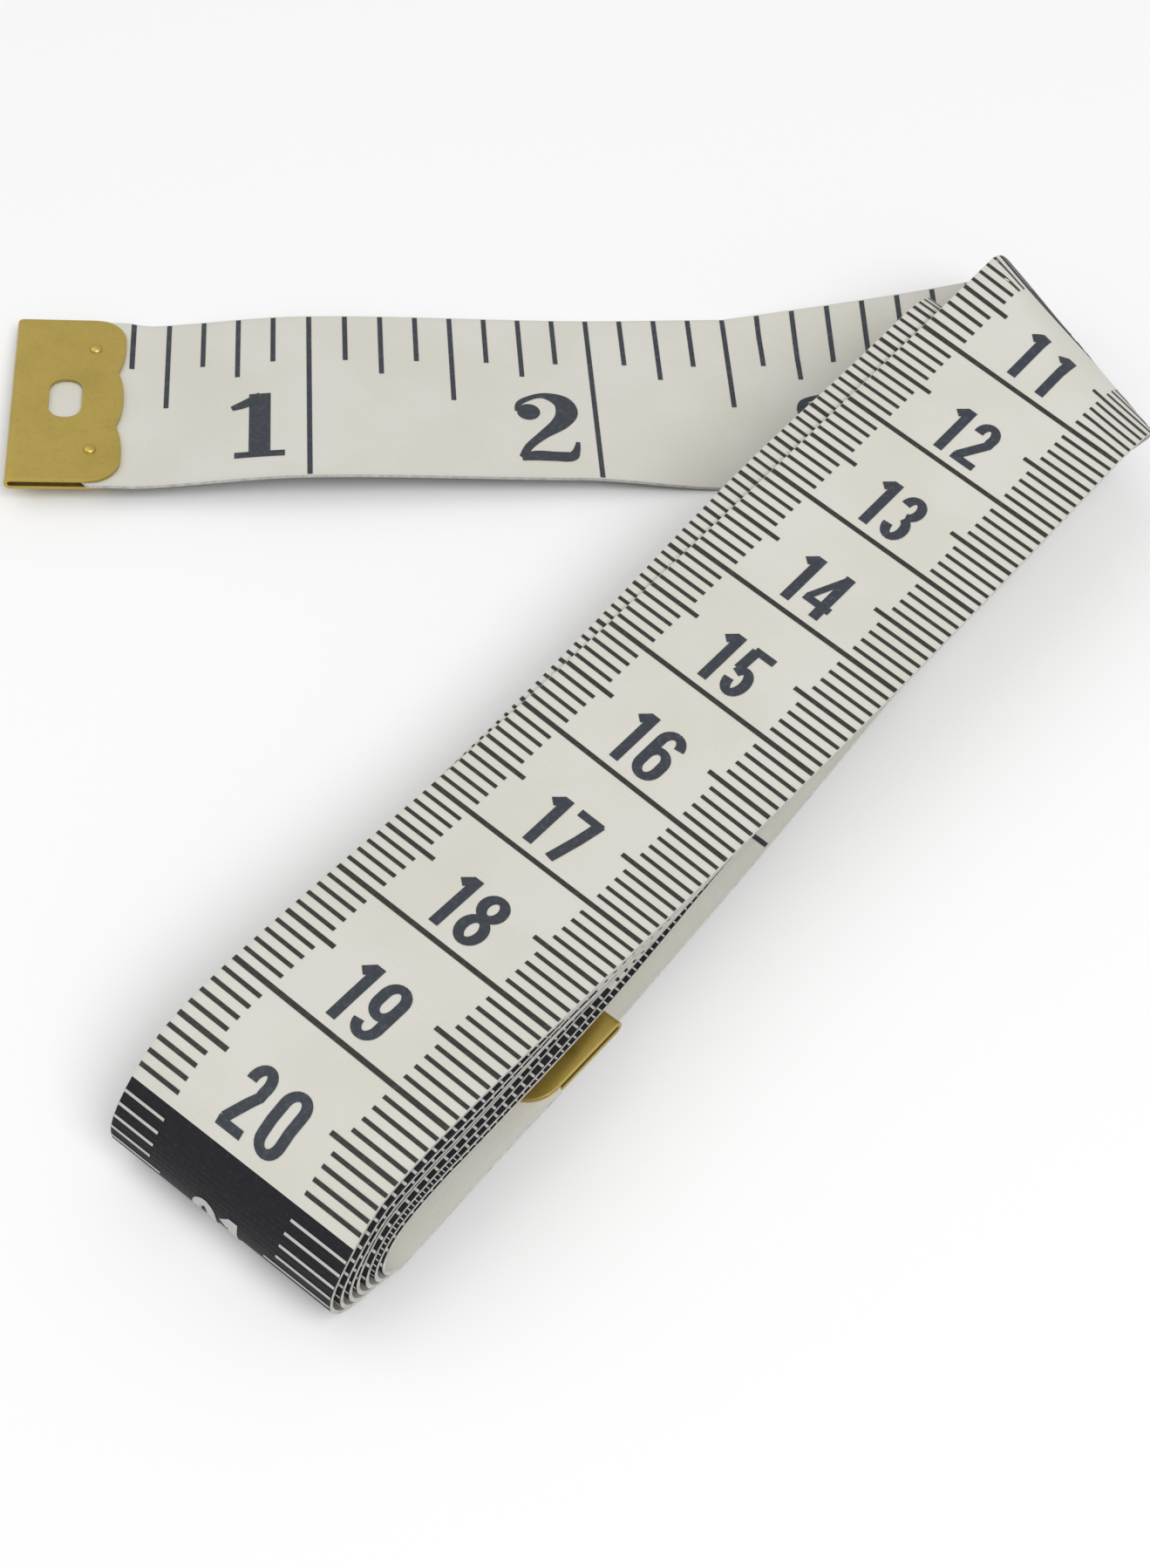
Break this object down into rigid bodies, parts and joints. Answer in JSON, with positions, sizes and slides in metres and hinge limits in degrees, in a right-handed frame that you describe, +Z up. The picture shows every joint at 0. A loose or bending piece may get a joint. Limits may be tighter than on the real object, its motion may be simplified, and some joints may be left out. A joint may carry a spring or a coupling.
{
  "type": "cloth tape measure",
  "caption": "Soft tape measure with a brass clip on each end, wound flat into a hank on a table with its first centimetres laid out beside it.",
  "frame": {"origin": "middle of the part's outline, on the table it lies on", "axes": "+X along the laid-out end from its clip towards the hank, +Z up"},
  "size_m": [0.095, 0.0974, 0.0125],
  "materials": {
    "tape": "coated woven tape, satin",
    "clip": "polished sheet brass, lightly tarnished"
  },
  "bodies": {
    "hank": {"tape_hank": "tape"},
    "lead": {"tape_lead": "tape", "zero_end_clip": "clip"},
    "tail": {"tape_tail": "tape", "far_end_clip": "clip"}
  },
  "joints": [
    {"name": "lead_lift", "type": "hinge", "parent": "hank", "child": "lead", "pos_m": [0.01446, 0.03869, 0.0003], "axis": [0, 1, 0], "range_deg": [0, 110]},
    {"name": "tail_lift", "type": "hinge", "parent": "hank", "child": "tail", "pos_m": [-0.02378, -0.03517, 0.00468], "axis": [0.7071, -0.7071, 0], "range_deg": [0, 3]}
  ]
}
